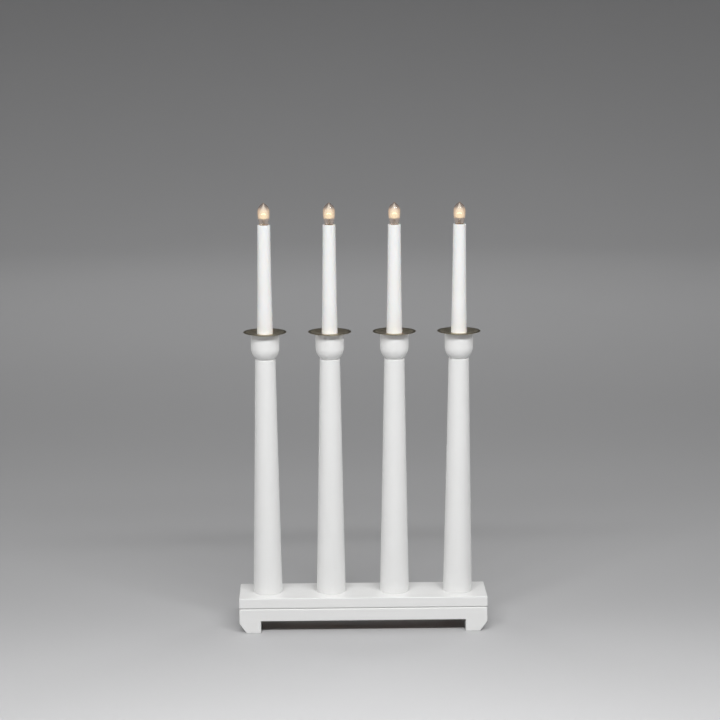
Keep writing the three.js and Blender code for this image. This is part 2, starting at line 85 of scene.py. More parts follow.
def rounded(corners, closed=False, steps=5):
    """Outline through (a, b, radius) corners. A corner with a radius becomes the arc that is
    tangent to both of its legs, and one without stays a point."""
    rows = []
    for i, (a, b, radius) in enumerate(corners):
        here = np.array((a, b), float)
        is_end = not closed and i in (0, len(corners) - 1)
        if radius == 0 or is_end:
            rows.append(here[None])
            continue
        back = np.array(corners[i - 1][:2], float) - here
        ahead = np.array(corners[(i + 1) % len(corners)][:2], float) - here
        back /= np.linalg.norm(back)
        ahead /= np.linalg.norm(ahead)
        half = math.acos(np.clip(back @ ahead, -1, 1)) / 2
        middle = (back + ahead) / np.linalg.norm(back + ahead)
        centre = here + middle * radius / math.sin(half)
        start = here + back * radius / math.tan(half) - centre
        end = here + ahead * radius / math.tan(half) - centre
        swing = math.pi - 2 * half
        share = np.linspace(0, 1, steps + 1)[:, None]
        arc = np.sin((1 - share) * swing) * start + np.sin(share * swing) * end
        rows.append(centre + arc / math.sin(swing))
    return np.concatenate(rows)


def inset(outline, distance):
    """A closed anticlockwise outline moved inwards by a distance: each point goes along the
    mitre of its two sides' normals."""
    side = np.roll(outline, -1, 0) - outline
    side /= np.linalg.norm(side, axis=1)[:, None]
    normal = np.stack([-side[:, 1], side[:, 0]], 1)
    before = np.roll(normal, 1, 0)
    mitre = (normal + before) / (1 + np.sum(normal * before, 1))[:, None]
    return outline + mitre * distance


def arc(centre_a, centre_b, radius, start, end, steps):
    """Points on a circle between two angles."""
    angle = np.linspace(start, end, steps + 1)
    return np.stack([centre_a + radius * np.cos(angle), centre_b + radius * np.sin(angle)], 1)


def bezier(first, first_pull, second_pull, second, steps):
    """Cubic curve from the first point to the second: the points weighted by the Bernstein
    polynomials of t."""
    t = np.linspace(0, 1, steps + 1)[:, None]
    points = [np.array(p, float) for p in (first, first_pull, second_pull, second)]
    weights = [(1 - t) ** 3, 3 * t * (1 - t) ** 2, 3 * t * t * (1 - t), t ** 3]
    return sum(weight * point for weight, point in zip(weights, points))


def patch(grid, around=False, along=False):
    """The points and four-sided faces of a grid of points, which may close on itself in either
    direction."""
    rows, columns = grid.shape[:2]
    last_row, last_column = rows - (not around), columns - (not along)
    i, j = np.meshgrid(np.arange(last_row), np.arange(last_column), indexing="ij")
    row, next_row = i * columns, (i + 1) % rows * columns
    next_j = (j + 1) % columns
    corners = [row + j, next_row + j, next_row + next_j, row + next_j]
    return grid.reshape(-1, 3), np.stack(corners, -1).reshape(-1, 4)


def flat_face(loops):
    """Fills a flat outline, less any further outlines inside it, with triangles."""
    rings = [[Vector(point) for point in loop] for loop in loops]
    return np.concatenate(loops), np.array(tessellate_polygon(rings))


def weld(name, *patches):
    """One closed mesh from several patches: doubled points are merged, faces turned outwards,
    and edges steeper than SHARP kept sharp."""
    points, faces, offset = [], [], 0
    for patch_points, patch_faces in patches:
        points.append(patch_points)
        faces.extend((patch_faces + offset).tolist())
        offset += len(patch_points)
    mesh = bpy.data.meshes.new(name)
    mesh.from_pydata(np.concatenate(points).tolist(), [], faces)
    mesh.polygons.foreach_set("use_smooth", np.ones(len(mesh.polygons), bool))
    work = bmesh.new()
    work.from_mesh(mesh)
    bmesh.ops.remove_doubles(work, verts=work.verts, dist=SAME_POINT)
    bmesh.ops.dissolve_degenerate(work, edges=work.edges, dist=NO_LENGTH)
    bmesh.ops.recalc_face_normals(work, faces=work.faces)
    work.to_mesh(mesh)
    work.free()
    mesh.set_sharp_from_angle(angle=SHARP)
    piece = bpy.data.objects.new(name, mesh)
    bpy.context.scene.collection.objects.link(piece)
    return piece


def turned(profile, x=0.0, y=0.0, sides=96, closed=True):
    """Surface of revolution: a profile of (radius, height) points carried round an upright axis
    at (x, y)."""
    angle = np.linspace(0, TURN, sides, endpoint=False)[:, None]
    radius, height = profile[:, 0], profile[:, 1]
    grid = np.stack(
        [x + np.cos(angle) * radius, y + np.sin(angle) * radius, height + 0 * angle], -1
    )
    return patch(grid, around=True, along=closed)


def swept(route, radius, up, sides=20):
    """Round tube with flat ends: a circle carried along a route of points, its first
    direction square to the route and to `up`."""
    along = np.gradient(route, axis=0)
    along /= np.linalg.norm(along, axis=1)[:, None]
    first = np.cross(along, np.array(up, float))
    first /= np.linalg.norm(first, axis=1)[:, None]
    second = np.cross(along, first)
    angle = np.linspace(0, TURN, sides, endpoint=False)[None, :, None]
    ring = np.cos(angle) * first[:, None] + np.sin(angle) * second[:, None]
    grid = route[:, None] + radius * ring
    ends = [np.broadcast_to(route[end], grid[:1].shape) for end in (0, -1)]
    return patch(np.concatenate([ends[0], grid, ends[1]]), along=True)


def route_through(corners, bend, steps=8):
    """Route through corner points, each inner corner rounded by a curve that blends its legs."""
    points = [np.array(corner, float) for corner in corners]
    rows = [points[0][None]]
    for before, here, after in zip(points, points[1:], points[2:]):
        start = here + (before - here) / np.linalg.norm(before - here) * bend
        end = here + (after - here) / np.linalg.norm(after - here) * bend
        t = np.linspace(0, 1, steps + 1)[:, None]
        rows.append((1 - t) ** 2 * start + 2 * t * (1 - t) * here + t * t * end)
    rows.append(points[-1][None])
    return np.concatenate(rows)


def boxed(low, high):
    """Plain block between two corners."""
    x0, y0, z0 = low
    x1, y1, z1 = high
    ring = np.array([(x0, y0), (x1, y0), (x1, y1), (x0, y1)])
    levels = [np.column_stack([ring, np.full(4, z)]) for z in (z0, z1)]
    wall = patch(np.stack(levels), along=True)
    return [wall, flat_face([levels[0]]), flat_face([levels[1]])]


# Thread: a ridge that climbs one pitch each turn, rounded like a cosine

THREAD_PITCH = 1.814 * MM
THREAD_DEPTH = 0.47 * MM
THREAD_MAJOR = 4.72 * MM
THREAD_CLEARANCE = 0.33 * MM


def thread_wall(low, high, radius, is_socket, x, sides=96, rows_per_pitch=12):
    """Points of a threaded wall: radius plus half the depth times 1 + cos(height's turns less the
    angle), faded over half a pitch at each end. In a socket the gaps are filled inwards."""
    rows = round((high - low) / THREAD_PITCH * rows_per_pitch)
    angle = np.linspace(0, TURN, sides, endpoint=False)[:, None]
    height = np.linspace(low, high, rows + 1)[None]
    ridge = THREAD_DEPTH / 2 * (1 + np.cos(TURN * height / THREAD_PITCH - angle))
    if is_socket:
        ridge = ridge - THREAD_DEPTH
    fade = np.clip(np.minimum(height - low, high - height) / (THREAD_PITCH / 2), 0, 1)
    distance = radius + ridge * fade
    across, depth = x + distance * np.cos(angle), distance * np.sin(angle)
    return np.stack([across, depth, height + 0 * angle], -1)


def turned_rows(profile, x, sides=96):
    """The same grid as `turned`, as points only, so that it can be joined to a threaded wall."""
    points, _ = turned(np.array(profile), x, sides=sides, closed=False)
    return points.reshape(sides, -1, 3)


# Finishes

class Number:
    """One value at each point of a surface, for use in sums, products and powers."""

    def __init__(self, finish, socket):
        self.finish = finish
        self.socket = socket

    def _with(self, operation, first, second):
        node = self.finish.node("ShaderNodeMath", {"operation": operation}, {0: first, 1: second})
        return Number(self.finish, node.outputs[0])

    def __add__(self, other):
        return self._with("ADD", self, other)

    __radd__ = __add__

    def __sub__(self, other):
        return self._with("SUBTRACT", self, other)

    def __rsub__(self, other):
        return self._with("SUBTRACT", other, self)

    def __mul__(self, other):
        return self._with("MULTIPLY", self, other)

    __rmul__ = __mul__

    def __pow__(self, other):
        return self._with("POWER", self, other)


class Finish:
    """A material, and the nodes that work out its colour, gloss and relief."""

    def __init__(self, name):
        self.material = bpy.data.materials.new(name)
        self.material.use_nodes = True
        self.tree = self.material.node_tree
        self.tree.nodes.clear()
        self.point = self.node("ShaderNodeTexCoord").outputs["Object"]

    def node(self, kind, settings=None, inputs=None):
        """Adds a node, sets what it does, then gives its sockets their values or links."""
        node = self.tree.nodes.new(kind)
        for key, value in (settings or {}).items():
            setattr(node, key, value)
        for key, value in (inputs or {}).items():
            if isinstance(value, Number):
                value = value.socket
            if isinstance(value, bpy.types.NodeSocket):
                self.tree.links.new(value, node.inputs[key])
            else:
                node.inputs[key].default_value = value
        return node

    def scaled(self, scale, centre=(0, 0, 0)):
        """Object coordinates less a centre, times a scale along each axis."""
        shift = [-s * c for s, c in zip(scale, centre)]
        inputs = {"Vector": self.point, "Location": shift, "Scale": scale}
        return self.node("ShaderNodeMapping", None, inputs).outputs[0]

    def drawn_out(self, axis, across, along):
        """Object coordinates scaled so that a pattern runs long along one axis."""
        scale = [across, across, across]
        scale[axis] = along
        return self.scaled(scale)

    def parts(self, vector):
        node = self.node("ShaderNodeSeparateXYZ", None, {0: vector})
        return [Number(self, socket) for socket in node.outputs]

    def noise(self, scale, detail=2.0, vector=None, roughness=0.5):
        inputs = {"Scale": scale, "Detail": detail, "Roughness": roughness}
        inputs["Vector"] = vector or self.point
        return Number(self, self.node("ShaderNodeTexNoise", None, inputs).outputs[0])

    def wave(self, amount):
        node = self.node("ShaderNodeMath", {"operation": "SINE"}, {0: amount})
        return Number(self, node.outputs[0])

    def span(self, amount, low, high):
        """0 at one value and 1 at the other, eased between them."""
        inputs = {"Value": amount, "From Min": low, "From Max": high}
        node = self.node("ShaderNodeMapRange", {"interpolation_type": "SMOOTHSTEP"}, inputs)
        return Number(self, node.outputs[0])

    def mix(self, share, first, second):
        inputs = {0: share, 6: first, 7: second}
        return self.node("ShaderNodeMix", {"data_type": "RGBA"}, inputs).outputs[2]

    def relief(self, height, distance, strength=1.0):
        inputs = {"Height": height, "Distance": distance, "Strength": strength}
        return self.node("ShaderNodeBump", None, inputs).outputs[0]

    def surface(self, inputs):
        shader = self.node("ShaderNodeBsdfPrincipled", None, inputs)
        self.node("ShaderNodeOutputMaterial", None, {"Surface": shader.outputs[0]})
        return self.material


def colour(red, green, blue):
    """A colour given as it is seen, 0 to 255, in the linear values that light is reckoned in."""
    seen = np.array([red, green, blue]) / 255
    linear = np.where(seen <= 0.04045, seen / 12.92, ((seen + 0.055) / 1.055) ** 2.4)
    return (*linear.tolist(), 1.0)


def white_paint(name, grain_axis):
    """Satin white lacquer on wood: fibres just show along the grain, over a fine roller
    texture."""
    finish = Finish(name)
    fibres = finish.noise(1.0, 4.0, finish.drawn_out(grain_axis, across=900.0, along=26.0), 0.6)
    bands = finish.noise(1.0, 3.0, finish.drawn_out(grain_axis, across=90.0, along=5.0))
    roller = finish.noise(1500.0, 1.0)
    tone = 0.35 * fibres + 0.65 * bands
    return finish.surface({
        "Base Color": finish.mix(tone, colour(223, 223, 222), colour(230, 230, 229)),
        "Roughness": 0.36 + 0.16 * bands,
        "Normal": finish.relief(0.6 * fibres + 0.4 * roller + 0.6 * bands, 0.06 * MM, 0.6),
    })


def antique_brass(name, x, rim_start):
    """Dulled brass, spun on a lathe: fine rings about its own axis under a cloudy patina. The
    raised rim is darkened with painted shade."""
    ring_pitch, ring_wander, rim_shade_blend = 0.5 * MM, 0.4 * MM, 0.6 * MM
    finish = Finish(name)
    across, depth, _ = finish.parts(finish.scaled((1, 1, 1), (x, 0, 0)))
    distance = (across ** 2 + depth ** 2) ** 0.5
    wobble = finish.noise(60.0)
    rings = finish.wave((distance + ring_wander * wobble) * (TURN / ring_pitch))
    cloud = finish.noise(170.0, 5.0, roughness=0.6)
    specks = finish.noise(1100.0, 3.0)
    patina = finish.span(cloud + 0.1 * rings, 0.32, 0.72)
    # Painted shade: from rim_start outwards the brass is mixed towards a dark colour.
    rim = finish.span(distance, rim_start - rim_shade_blend, rim_start + rim_shade_blend)
    sheet = finish.mix(patina, colour(230, 220, 200), colour(202, 192, 170))
    return finish.surface({
        "Base Color": finish.mix(0.8 * rim, sheet, colour(134, 124, 100)),
        "Metallic": 1.0,
        "Roughness": 0.3 + 0.14 * patina + 0.06 * specks,
        "Normal": finish.relief(0.5 * rings + specks, 0.012 * MM, 0.5),
    })


def candle_plastic(name):
    """Moulded white plastic that lets a little light through, slightly uneven as dipped wax is."""
    finish = Finish(name)
    waves = finish.noise(1.0, 2.0, finish.scaled((130, 130, 30)))
    skin = finish.noise(1300.0, 1.0)
    return finish.surface({
        "Base Color": finish.mix(waves, colour(232, 232, 231), colour(236, 236, 235)),
        "Roughness": 0.3 + 0.12 * waves,
        "Subsurface Weight": 0.25,
        "Subsurface Radius": (1.0, 0.7, 0.5),
        "Subsurface Scale": 2.5 * MM,
        "Normal": finish.relief(waves + 0.1 * skin, 0.05 * MM, 0.5),
    })


def bulb_glass(name, glow_low, glow_high):
    """Clear glass. The filament's light, caught in its wall, starts at a sharp lower edge, is
    peach round the belly and dies away towards the tip."""
    lower_edge, upper_fade = 0.8 * MM, 4.5 * MM
    finish = Finish(name)
    _, _, height = finish.parts(finish.point)
    lit = finish.span(height, glow_low, glow_low + lower_edge)
    faded = finish.span(height, glow_high, glow_high + upper_fade)
    streaks = finish.noise(1.0, 3.0, finish.scaled((1200, 1200, 150)))
    share = lit * (1 - faded) * (0.7 + 0.6 * streaks)
    return finish.surface({
        "Base Color": colour(255, 250, 244),
        "Roughness": 0.02,
        "IOR": 1.3,
        "Transmission Weight": 1.0,
        "Emission Color": finish.mix(share, (0.02, 0.014, 0.012, 1), (0.108, 0.074, 0.046, 1)),
        "Emission Strength": 1.0,
    })


def lit_haze(name, low, high):
    """The light round the filament: cream at its foot and white at its point."""
    finish = Finish(name)
    _, _, height = finish.parts(finish.point)
    top = finish.span(height, low, high)
    return finish.surface({
        "Base Color": (0, 0, 0, 1),
        "Roughness": 1.0,
        "Specular IOR Level": 0.0,
        "Emission Color": finish.mix(top, (1.0, 0.86, 0.6, 1), (1.0, 0.93, 0.84, 1)),
        "Emission Strength": 0.85,
        "Alpha": 0.26,
    })


def filament_metal(name):
    finish = Finish(name)
    coils = finish.noise(4000.0)
    return finish.surface({
        "Base Color": colour(255, 214, 150),
        "Emission Color": finish.mix(coils, colour(255, 214, 140), colour(255, 236, 190)),
        "Emission Strength": 5.0,
    })


def bright_metal(name, light, dark, roughness, streak_scale):
    """Bare drawn or pressed metal with fine streaks."""
    finish = Finish(name)
    streaks = finish.noise(1.0, 3.0, finish.scaled(streak_scale))
    stains = finish.noise(400.0, 3.0)
    return finish.surface({
        "Base Color": finish.mix(0.5 * streaks + 0.5 * stains, dark, light),
        "Metallic": 1.0,
        "Roughness": roughness + 0.15 * stains,
        "Normal": finish.relief(streaks, 0.01 * MM, 0.4),
    })


def end_contact(name, split):
    """Black glass, and below `split` the tin of the soldered end contact."""
    blend = 0.05 * MM
    finish = Finish(name)
    _, _, height = finish.parts(finish.point)
    is_glass = finish.span(height, split - blend, split + blend)
    grain = finish.noise(1800.0, 3.0)
    return finish.surface({
        "Base Color": finish.mix(is_glass, colour(196, 194, 188), colour(22, 20, 24)),
        "Metallic": 1 - is_glass,
        "Roughness": 0.42 - 0.28 * is_glass + 0.08 * grain,
        "Normal": finish.relief(grain, 0.03 * MM, 0.4),
    })


def moulded(name, light, dark, roughness):
    """Plain moulded plastic or soft insulation with a matt skin."""
    finish = Finish(name)
    skin = finish.noise(2200.0, 2.0)
    tone = finish.noise(120.0)
    return finish.surface({
        "Base Color": finish.mix(tone, dark, light),
        "Roughness": roughness + 0.12 * tone,
        "Normal": finish.relief(skin, 0.02 * MM, 0.5),
    })


def hardboard(name):
    """Pressed brown fibre, matted in all directions, with a few long dark hairs."""
    finish = Finish(name)
    mat = finish.noise(900.0, 6.0, roughness=0.7)
    hairs = finish.noise(1.0, 4.0, finish.scaled((500, 2400, 2400)))
    tone = finish.span(0.6 * mat + 0.4 * hairs, 0.36, 0.64)
    return finish.surface({
        "Base Color": finish.mix(tone, colour(122, 94, 74), colour(178, 144, 116)),
        "Roughness": 0.68 + 0.2 * mat,
        "Normal": finish.relief(mat + hairs, 0.12 * MM, 0.6),
    })


def stem_glass(name):
    """Slightly uneven glass, drawn by hand."""
    finish = Finish(name)
    streaks = finish.noise(500.0)
    return finish.surface({
        "Base Color": finish.mix(streaks, colour(252, 246, 236), colour(255, 252, 246)),
        "Roughness": 0.05 + 0.1 * streaks,
        "Transmission Weight": 0.9,
        "IOR": 1.5,
    })


PAINT_ALONG = white_paint("white paint, grain along the base", 0)
PAINT_UP = white_paint("white paint, grain up the column", 2)
CANDLE = candle_plastic("candle plastic")
ROLLED, DRAWN = (300, 300, 4000), (3000, 3000, 300)
BRASS = bright_metal("bright brass", colour(226, 190, 110), colour(190, 150, 78), 0.22, ROLLED)
STEEL = bright_metal("plated steel", colour(196, 197, 200), colour(160, 160, 164), 0.28, DRAWN)
WIRE = bright_metal("support wire", colour(210, 206, 198), colour(170, 164, 154), 0.2, DRAWN)
INSULATION = moulded("lead insulation", colour(240, 240, 236), colour(228, 228, 222), 0.4)
NYLON = moulded("bush nylon", colour(228, 226, 220), colour(216, 213, 206), 0.38)
HOLDER = moulded("holder plastic", colour(230, 226, 214), colour(216, 211, 198), 0.45)
HARDBOARD = hardboard("hardboard")
FILAMENT = filament_metal("lit filament")


def finished(piece, material, slot, body, *nodes, smooth_large=True):
    """Gives a piece its material and body, and hides the frame's nodes that it stands for; the
    slot is not used. Large faces keep their own flat normals, so that only the small rounded edges
    shade off."""
    piece.data.materials.clear()
    piece.data.materials.append(material)
    if smooth_large:
        level = piece.modifiers.new("flat faces stay flat", "WEIGHTED_NORMAL")
        level.weight = FLAT_FACE_WEIGHT
        level.keep_sharp = True
    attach(piece, body)
    if nodes:
        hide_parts(*nodes)
    return piece


def reworked(node, material):
    """A frame node whose own shape is right takes a better material."""
    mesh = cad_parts[node].data
    mesh.materials.clear()
    mesh.materials.append(material)


# Base

ARRIS = 0.8 * MM
BOARD_CORNER = 0.7 * MM
GROOVE_HEIGHT = 1.2 * MM
GROOVE_DEPTH = 1.2 * MM
GROOVE_ARRIS = 0.56 * MM
FOOT_CUT_WIDTH = 7.8 * MM
FOOT_CUT_HEIGHT = 11 * MM
CHANNEL_WIDTH = 26 * MM
CHANNEL_END_ROOM = 1.4 * MM
SOCKET_RADIUS = 8.3 * MM
COVER_ARRIS = 0.25 * MM
SCREW_HEAD_RADIUS = 3 * MM
SCREW_HEAD_HEIGHT = 1.6 * MM
SCREW_SHANK_RADIUS = 1.4 * MM


def circle(radius, x, y, z, sides=64):
    angle = np.linspace(0, TURN, sides, endpoint=False)
    return np.stack([x + radius * np.cos(angle), y + radius * np.sin(angle), z + 0 * angle], 1)


def drilled_board(name, half_x, half_y, edge, holes):
    """Board with its edge profile carried round it, and turned holes through it. `edge` runs
    from the underside to the top as (distance in from the edge, height); `holes` are
    (x, y, profile) with the profile from the underside to the top."""
    signs = [(-1, -1), (1, -1), (1, 1), (-1, 1)]
    corners = [(i * half_x, j * half_y, BOARD_CORNER) for i, j in signs]
    outline = rounded(corners, closed=True, steps=4)
    shrink = np.array([(half_x, half_y)])
    rings = []
    for distance, height in edge:
        ring = outline * (shrink - distance) / shrink
        rings.append(np.column_stack([ring, np.full(len(ring), height)]))
    wall = patch(np.stack(rings), along=True)
    bores = [turned(np.array(profile), x, y, sides=64, closed=False) for x, y, profile in holes]
    faces = []
    for end in (0, -1):
        mouths = [circle(profile[end][0], x, y, profile[end][1]) for x, y, profile in holes]
        faces.append(flat_face([rings[end], *mouths]))
    return weld(name, wall, *bores, *faces)


def base_board():
    low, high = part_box("base_board")
    edge = rounded([
        (GROOVE_DEPTH, low.z, 0),
        (GROOVE_DEPTH, low.z + GROOVE_HEIGHT, 0),
        (0, low.z + GROOVE_HEIGHT, GROOVE_ARRIS),
        (0, high.z, ARRIS),
        (2 * ARRIS, high.z, 0),
    ])
    holes = []
    for light in LIGHTS:
        x = middle_of(f"column_{light}").x
        holes.append((x, 0, [(SOCKET_RADIUS, low.z), (SOCKET_RADIUS, high.z)]))
    piece = drilled_board("board", high.x, high.y, edge, holes)
    finished(piece, PAINT_ALONG, "base_paint", "candlestick", "base_board")


def frame_outline(ceiling, half_length, top, recess, channel):
    """Front outline of the frame, anticlockwise from the left foot: two cut feet with the recess
    between them. It has points where the wiring channel starts and ends, so that the channel
    can open there."""
    foot = half_length - FOOT_CUT_WIDTH
    return rounded([
        (-foot, 0, ARRIS), (-recess, 0, ARRIS), (-recess, ceiling, ARRIS),
        (-channel, ceiling, 0), (channel, ceiling, 0),
        (recess, ceiling, ARRIS), (recess, 0, ARRIS), (foot, 0, ARRIS),
        (half_length, FOOT_CUT_HEIGHT, ARRIS), (half_length, top, ARRIS),
        (channel, top, 0), (-channel, top, 0),
        (-half_length, top, ARRIS), (-half_length, FOOT_CUT_HEIGHT, ARRIS),
    ], closed=True)


def base_frame():
    """The front outline carried from front to back. It shrinks by the arris at both ends, and its
    recess steps up over the cover's rebate; the wiring channel is open inside."""
    _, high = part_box("base_frame")
    cover_low, cover_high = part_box("cable_cover")
    recess = cover_high.x + FIT
    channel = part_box("supply_lead_right")[1].x + CHANNEL_END_ROOM
    plain = frame_outline(cover_low.z, high.x, high.z, recess, channel)
    stepped = frame_outline(cover_high.z, high.x, high.z, recess, channel)
    angle = np.linspace(0, math.pi / 2, 6)
    shapes = [inset(plain, ARRIS * (1 - s)) for s in np.sin(angle)]
    arris = list(zip(shapes, high.y - ARRIS * (1 - np.cos(angle))))
    rebate, walls = cover_high.y + FIT, CHANNEL_WIDTH / 2
    front = [(shape, -y) for shape, y in arris]
    middle = [(plain, -rebate), *[(stepped, y) for y in (-rebate, -walls, walls, rebate)]]
    sections = front + middle + [(plain, rebate)] + arris[::-1]
    rings = []
    for shape, y in sections:
        rings.append(np.column_stack([shape[:, 0], np.full(len(shape), y), shape[:, 1]]))
    points, faces = patch(np.stack(rings), along=True)
    centre = points[faces].mean(1)
    is_open = (np.abs(centre[:, 0]) < channel - FIT) & (np.abs(centre[:, 1]) < walls - FIT)
    mouth = np.array([(-channel, -walls), (channel, -walls), (channel, walls), (-channel, walls)])
    levels = [np.column_stack([mouth, np.full(4, z)]) for z in (cover_high.z, high.z)]
    piece = weld(
        "frame", (points, faces[~is_open]), patch(np.stack(levels), along=True),
        flat_face([rings[0]]), flat_face([rings[-1]]),
    )
    finished(piece, PAINT_ALONG, "base_paint", "candlestick", "base_frame")


def screw_places():
    return [middle_of(f"cable_cover_screw_{i}") for i in range(1, 5)]


def cable_cover():
    low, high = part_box("cable_cover")
    edge = rounded([
        (3 * COVER_ARRIS, low.z, 0), (0, low.z, COVER_ARRIS), (0, high.z, COVER_ARRIS),
        (3 * COVER_ARRIS, high.z, 0),
    ], steps=3)
    sink = [
        (SCREW_HEAD_RADIUS + FIT, low.z),
        (SCREW_SHANK_RADIUS + FIT, low.z + SCREW_HEAD_HEIGHT),
        (SCREW_SHANK_RADIUS + FIT, high.z),
    ]
    holes = [(place.x, place.y, sink) for place in screw_places()]
    bush = middle_of("cord_bush")
    inlet = BUSH_RADIUS + FIT
    holes.append((bush.x, bush.y, [(inlet, low.z), (inlet, high.z)]))
    piece = drilled_board("cover", high.x, high.y, edge, holes)
    finished(piece, HARDBOARD, "hardboard", "candlestick", "cable_cover")


def cover_screws():
    """Countersunk screws. The head's face is a disc pressed in by a cross: an arm's depth is
    flat along it and falls off to its sides and end. The shank carries a wood thread."""
    slot_half, slot_reach, slot_depth = 0.42 * MM, 2.1 * MM, 0.9 * MM
    slot_taper, slot_side, slot_end = 0.06, 0.18 * MM, 0.7 * MM
    head_edge, neck_length = 0.12 * MM, 0.6 * MM
    thread_start, point_length = 0.8 * MM, 1.4 * MM
    pitch, ridge = 1.3 * MM, 0.3 * MM
    for i, place in enumerate(screw_places(), 1):
        low, high = low_z(f"cable_cover_screw_{i}"), high_z(f"cable_cover_screw_{i}")
        angle = np.linspace(0, TURN, 144, endpoint=False)[:, None]
        radius = np.linspace(0, SCREW_HEAD_RADIUS - head_edge, 40)[None]
        across, depth = np.abs(radius * np.cos(angle)), np.abs(radius * np.sin(angle))
        arms = [a - slot_half + b * slot_taper for a, b in ((across, depth), (depth, across))]
        near = np.clip(-np.minimum(*arms) / slot_side, 0, 1)
        ends = np.clip((slot_reach - radius) / slot_end, 0, 1)
        face = low + slot_depth * near * ends
        neck = low + SCREW_HEAD_HEIGHT
        shank = np.linspace(neck + thread_start, high - point_length, 60)[None]
        turns = TURN * shank / pitch - angle
        root = SCREW_SHANK_RADIUS - ridge
        body = root + ridge * np.clip(np.cos(turns) * 2 - 1, 0, 1)
        plain_radius = np.array([[SCREW_HEAD_RADIUS, SCREW_SHANK_RADIUS, root]]) + 0 * angle
        plain_height = np.array([[low + head_edge, neck, neck + neck_length]]) + 0 * angle
        radius = np.concatenate([radius + 0 * angle, plain_radius, body, 0 * angle], 1)
        height = np.concatenate([face, plain_height, shank + 0 * angle, high + 0 * angle], 1)
        across, depth = place.x + radius * np.cos(angle), place.y + radius * np.sin(angle)
        grid = np.stack([across, depth, height], -1)
        piece = weld(f"cover_screw_{i}", patch(grid, around=True))
        finished(piece, STEEL, "steel", "candlestick", f"cable_cover_screw_{i}")


BUSH_RADIUS = 4.4 * MM
BUSH_BORE = 3 * MM
BUSH_CATCH = 0.7 * MM
BUSH_EDGE = 0.4 * MM
BUSH_CORNER = 0.1 * MM


def cord_bush():
    low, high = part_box("cord_bush")
    cover_low, cover_high = low_z("cable_cover"), high_z("cable_cover")
    flange = radius_of("cord_bush")
    catch = cover_high + FIT
    profile = rounded([
        (BUSH_BORE, low.z, BUSH_EDGE), (flange, low.z, BUSH_EDGE),
        (flange, cover_low, BUSH_CORNER), (BUSH_RADIUS, cover_low, 0), (BUSH_RADIUS, catch, 0),
        (BUSH_RADIUS + BUSH_CATCH, catch, BUSH_CORNER), (BUSH_RADIUS, high.z, BUSH_EDGE / 2),
        (BUSH_BORE, high.z, BUSH_EDGE / 2),
    ], closed=True)
    centre = middle_of("cord_bush")
    piece = weld("inlet_bush", turned(profile, centre.x, centre.y, sides=64))
    finished(piece, NYLON, "bush_plastic", "candlestick", "cord_bush")


# Wiring, along the same routes as in the frame

LEAD_RADIUS = 1 * MM
LINK_BEND = 4 * MM
SUPPLY_BEND = 3 * MM
CRIMP_RADIUS = 2 * MM
NIP_DEPTH = 0.25 * MM
NIP_SHARE = 0.3


def leads():
    for i in LIGHTS[:-1]:
        node = f"link_lead_{i}"
        low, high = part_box(node)
        left, right, lane = low.x + LEAD_RADIUS, high.x - LEAD_RADIUS, low.z + LEAD_RADIUS
        corners = [(left, 0, high.z), (left, 0, lane), (right, 0, lane), (right, 0, high.z)]
        piece = weld(f"link_{i}", swept(route_through(corners, LINK_BEND), LEAD_RADIUS, (0, 1, 0)))
        finished(piece, INSULATION, "lead_insulation", "candlestick", node, smooth_large=False)
    for side, word in ((-1, "left"), (1, "right")):
        node = f"supply_lead_{word}"
        low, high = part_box(node)
        outer = (high.x if side > 0 else low.x) - side * LEAD_RADIUS
        inner = low.x if side > 0 else high.x
        lane_y, lane = low.y + LEAD_RADIUS, low.z + LEAD_RADIUS
        down = [(outer, 0, high.z), (outer, 0, lane)]
        inwards = [(outer, lane_y, lane), (inner, lane_y, lane)]
        route = route_through(down + inwards, SUPPLY_BEND)
        piece = weld(f"supply_{word}", swept(route, LEAD_RADIUS, (1, 1, 1)))
        finished(piece, INSULATION, "lead_insulation", "candlestick", node, smooth_large=False)


def crimps():
    """Crimp tube: a thin round wall along X, nipped in over two short bands."""
    for word in ("left", "right"):
        node = f"crimp_sleeve_{word}"
        low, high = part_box(node)
        centre = middle_of(node)
        along = np.linspace(low.x, high.x, 60)
        share = (along - low.x) / (high.x - low.x)
        nip = NIP_DEPTH * np.clip(np.cos(2 * TURN * share + math.pi) - NIP_SHARE, 0, 1)
        outer = CRIMP_RADIUS - nip
        bore = LEAD_RADIUS + FIT
        radius = np.concatenate([outer, np.full(2, bore)])
        place = np.concatenate([along, [high.x, low.x]])
        angle = np.linspace(0, TURN, 48, endpoint=False)[:, None]
        depth, height = centre.y + radius * np.cos(angle), centre.z + radius * np.sin(angle)
        grid = np.stack([place + 0 * angle, depth, height], -1)
        piece = weld(f"crimp_{word}", patch(grid, around=True, along=True))
        finished(piece, STEEL, "steel", "candlestick", node)


# One light, from the base up

WIRE_BORE = 4.6 * MM
FOOT_TENON = 8 * MM
COLUMN_MIDDLE = 13.3 * MM
COLUMN_TOP = 11 * MM
COLUMN_EDGE = 0.5 * MM
CAPITAL_TENON = 7 * MM
CAPITAL_TENON_LENGTH = 12 * MM
CAPITAL_CENTRE = 12.5 * MM
CAPITAL_NECK = 8.9 * MM
CAPITAL_NECK_HEIGHT = 0.8 * MM
CAPITAL_EDGE = 0.6 * MM
SPIGOT = 6.4 * MM
SPIGOT_LENGTH = 18 * MM
PLATE_THICKNESS = 0.5 * MM
PLATE_FLOOR = 14.5 * MM
PLATE_RISE_END = 20.5 * MM
SLEEVE_MIDDLE = 7.5 * MM
SLEEVE_TOP = 6.9 * MM
SLEEVE_BORE = 5 * MM
SLEEVE_EDGE = 0.45 * MM
SLEEVE_HEEL = 0.3 * MM
SLEEVE_LIP = 0.2 * MM
CHAMBER_RADIUS = 5.65 * MM


